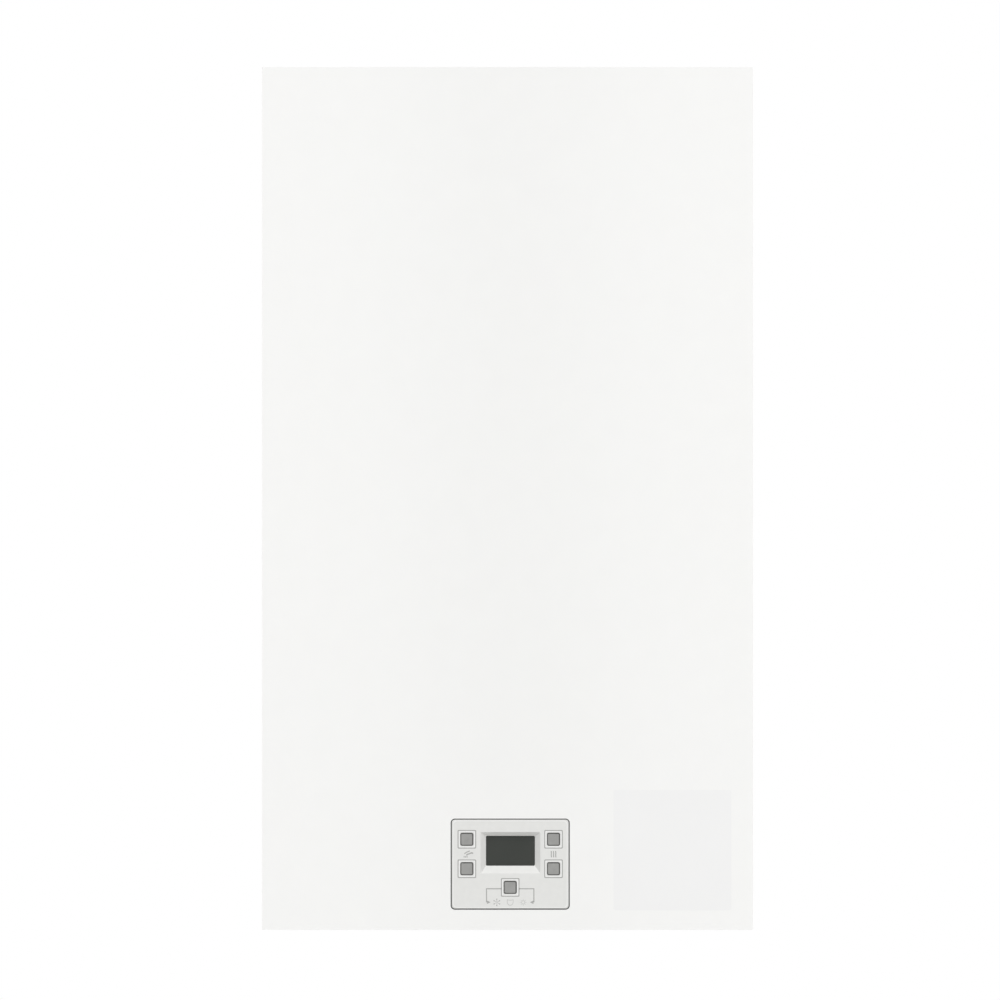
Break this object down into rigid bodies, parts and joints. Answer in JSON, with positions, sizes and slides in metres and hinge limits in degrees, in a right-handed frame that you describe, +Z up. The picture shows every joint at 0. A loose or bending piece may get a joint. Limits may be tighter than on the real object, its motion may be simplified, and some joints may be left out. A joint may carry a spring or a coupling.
{
  "type": "combi boiler",
  "caption": "Wall-hung combi boiler: white sheet casing over a sealed combustion chamber, fan, hydraulic groups and a tilting control box with push buttons.",
  "frame": {"origin": "on the wall plane, on the wall frame's back face, midway between the two hanging slots and at their height", "axes": "+X right as seen from the front, +Y into the wall, +Z up; the front faces -Y"},
  "size_m": [0.4, 0.2995, 0.703],
  "materials": {
    "white_enamel": "smooth semi-gloss powder coat",
    "galvanised_sheet": "galvanised",
    "zinc_steel": "zinc plated",
    "aluminised_sheet": "aluminised, dull",
    "stainless_sheet": "rolled stainless",
    "motor_steel": "dark satin",
    "red_enamel": "gloss paint",
    "copper": "drawn copper",
    "cast_brass": "as cast",
    "cast_aluminium": "die cast",
    "ceramic_fibre": "matt fibre board",
    "white_ceramic": "glazed",
    "black_rubber": "matt",
    "clear_silicone": "translucent",
    "clear_glass": "clear",
    "display_glass": "smooth display",
    "grey_fascia": "fine satin",
    "button_rubber": "matt",
    "dark_plastic": "moulded",
    "red_plastic": "moulded",
    "pump_plastic": "moulded",
    "board_laminate": "solder-masked laminate"
  },
  "bodies": {
    "frame": {"wall_frame": "galvanised_sheet", "bottom_bracket": "galvanised_sheet", "casing_screw_left": "zinc_steel", "casing_screw_right": "zinc_steel", "cord_gland": "black_rubber", "chamber_box": "galvanised_sheet", "chamber_seal": "black_rubber", "chamber_cover": "galvanised_sheet", "sight_glass": "clear_glass", "expansion_vessel": "red_enamel", "combustion_chamber": "aluminised_sheet", "combustion_front": "aluminised_sheet", "fibre_front": "ceramic_fibre", "burner": "stainless_sheet", "burner_manifold": "zinc_steel", "ignition_electrode": "white_ceramic", "flame_electrode": "white_ceramic", "main_heat_exchanger": "copper", "flue_hood": "aluminised_sheet", "fan_scroll": "aluminised_sheet", "fan_motor": "motor_steel", "flue_socket": "cast_aluminium", "flue_seal": "black_rubber", "air_pressure_switch": "dark_plastic", "pressure_tube": "clear_silicone", "flow_group": "cast_brass", "three_way_motor": "dark_plastic", "return_group": "cast_brass", "flow_sensor": "dark_plastic", "plate_heat_exchanger": "stainless_sheet", "pump_volute": "dark_plastic", "pump_motor": "motor_steel", "gas_valve": "cast_aluminium", "gas_inlet_pipe": "zinc_steel", "gas_outlet_pipe": "zinc_steel", "flow_pipe": "copper", "return_pipe": "copper", "vessel_pipe": "copper", "pressure_gauge": "dark_plastic", "fibre_lining": "ceramic_fibre", "cold_water_tail": "cast_brass", "heating_return_tail": "cast_brass"},
    "casing": {"front_casing": "white_enamel"},
    "control": {"control_box": "dark_plastic", "control_cover": "dark_plastic", "fascia": "grey_fascia", "display_module": "display_glass", "circuit_board": "board_laminate"},
    "hot_water_plus": {"hot_water_plus": "button_rubber"},
    "hot_water_minus": {"hot_water_minus": "button_rubber"},
    "heating_plus": {"heating_plus": "button_rubber"},
    "heating_minus": {"heating_minus": "button_rubber"},
    "mode_button": {"mode_button": "button_rubber"},
    "fan_wheel": {"fan_impeller": "galvanised_sheet"},
    "pump_wheel": {"pump_impeller": "pump_plastic"},
    "spindle": {"three_way_spindle": "stainless_sheet"},
    "relief_knob": {"relief_knob": "red_plastic"},
    "fill_knob": {"fill_knob": "dark_plastic"},
    "vent_cap": {"air_vent_cap": "dark_plastic"},
    "needle": {"gauge_needle": "red_plastic"}
  },
  "joints": [
    {"name": "casing_slide", "type": "slide", "parent": "frame", "child": "casing", "axis": [0, -1, 0], "range_m": [0, 0.32]},
    {"name": "control_tilt", "type": "hinge", "parent": "frame", "child": "control", "pos_m": [0, -0.29, -0.641], "axis": [1, 0, 0], "range_deg": [0, 90]},
    {"name": "hot_water_plus_press", "type": "slide", "parent": "control", "child": "hot_water_plus", "axis": [0, 1, 0], "range_m": [0, 0.0008], "stiffness_N_per_m": 400},
    {"name": "hot_water_minus_press", "type": "slide", "parent": "control", "child": "hot_water_minus", "axis": [0, 1, 0], "range_m": [0, 0.0008], "stiffness_N_per_m": 400},
    {"name": "heating_plus_press", "type": "slide", "parent": "control", "child": "heating_plus", "axis": [0, 1, 0], "range_m": [0, 0.0008], "stiffness_N_per_m": 400},
    {"name": "heating_minus_press", "type": "slide", "parent": "control", "child": "heating_minus", "axis": [0, 1, 0], "range_m": [0, 0.0008], "stiffness_N_per_m": 400},
    {"name": "mode_press", "type": "slide", "parent": "control", "child": "mode_button", "axis": [0, 1, 0], "range_m": [0, 0.0008], "stiffness_N_per_m": 400},
    {"name": "fan_spin", "type": "hinge", "parent": "frame", "child": "fan_wheel", "pos_m": [-0.066, -0.15, -0.095], "axis": [0, -1, 0], "continuous": true},
    {"name": "pump_spin", "type": "hinge", "parent": "frame", "child": "pump_wheel", "pos_m": [0.095, -0.11, -0.485], "axis": [0, -1, 0], "continuous": true},
    {"name": "spindle_slide", "type": "slide", "parent": "frame", "child": "spindle", "axis": [0, 1, 0], "range_m": [0, 0.007], "stiffness_N_per_m": 800},
    {"name": "relief_turn", "type": "hinge", "parent": "frame", "child": "relief_knob", "pos_m": [-0.168, -0.15, -0.593], "axis": [0, -1, 0], "range_deg": [0, 90]},
    {"name": "fill_turn", "type": "hinge", "parent": "frame", "child": "fill_knob", "pos_m": [0.097, -0.165, -0.645], "axis": [0, 0, 1], "range_deg": [0, 90]},
    {"name": "vent_cap_turn", "type": "hinge", "parent": "frame", "child": "vent_cap", "pos_m": [0.058, -0.108, -0.425], "axis": [0, 0, 1], "range_deg": [0, 360]},
    {"name": "needle_turn", "type": "hinge", "parent": "frame", "child": "needle", "pos_m": [-0.098, -0.205, -0.651], "axis": [0, 0, 1], "range_deg": [-135, 135]}
  ],
  "couplings": [
    {"joint": "control_tilt", "follows": "casing_slide", "rad_per_m": 4.9087}
  ]
}
